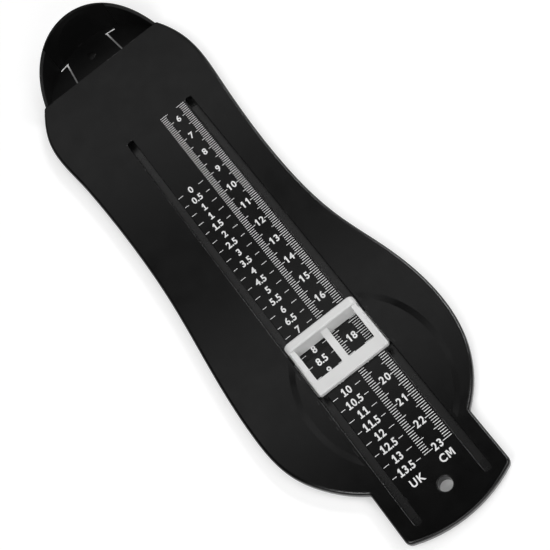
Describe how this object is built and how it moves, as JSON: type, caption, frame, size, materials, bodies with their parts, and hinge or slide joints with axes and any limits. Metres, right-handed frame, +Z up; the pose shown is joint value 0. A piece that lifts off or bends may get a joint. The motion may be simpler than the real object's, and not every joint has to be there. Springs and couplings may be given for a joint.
{
  "type": "foot measuring device",
  "caption": "Foot-shaped measuring board with a raised heel cup, a printed length scale between two slots, and a sliding toe stop with reading windows.",
  "frame": {"origin": "middle of the board's length and width, on the surface that it lies on", "axes": "+Y along the board towards the heel cup, +X to the right as seen from the toe end, +Z up out of the deck"},
  "size_m": [0.0816, 0.259, 0.0212],
  "materials": {
    "board_plastic": "fine moulded texture, charcoal",
    "cover_plastic": "moulded, charcoal",
    "cup_plastic": "satin, black",
    "slider_plastic": "satin, white",
    "scale_ink": "printed, white"
  },
  "bodies": {
    "board": {"sole_plate": "board_plastic", "base_cover": "cover_plastic", "heel_cup": "cup_plastic"},
    "slider": {"toe_slider": "slider_plastic", "slider_keeper": "slider_plastic"}
  },
  "joints": [
    {"name": "toe_slide", "type": "slide", "parent": "board", "child": "slider", "axis": [0, -1, 0], "range_m": [-0.12, 0.0582]}
  ]
}
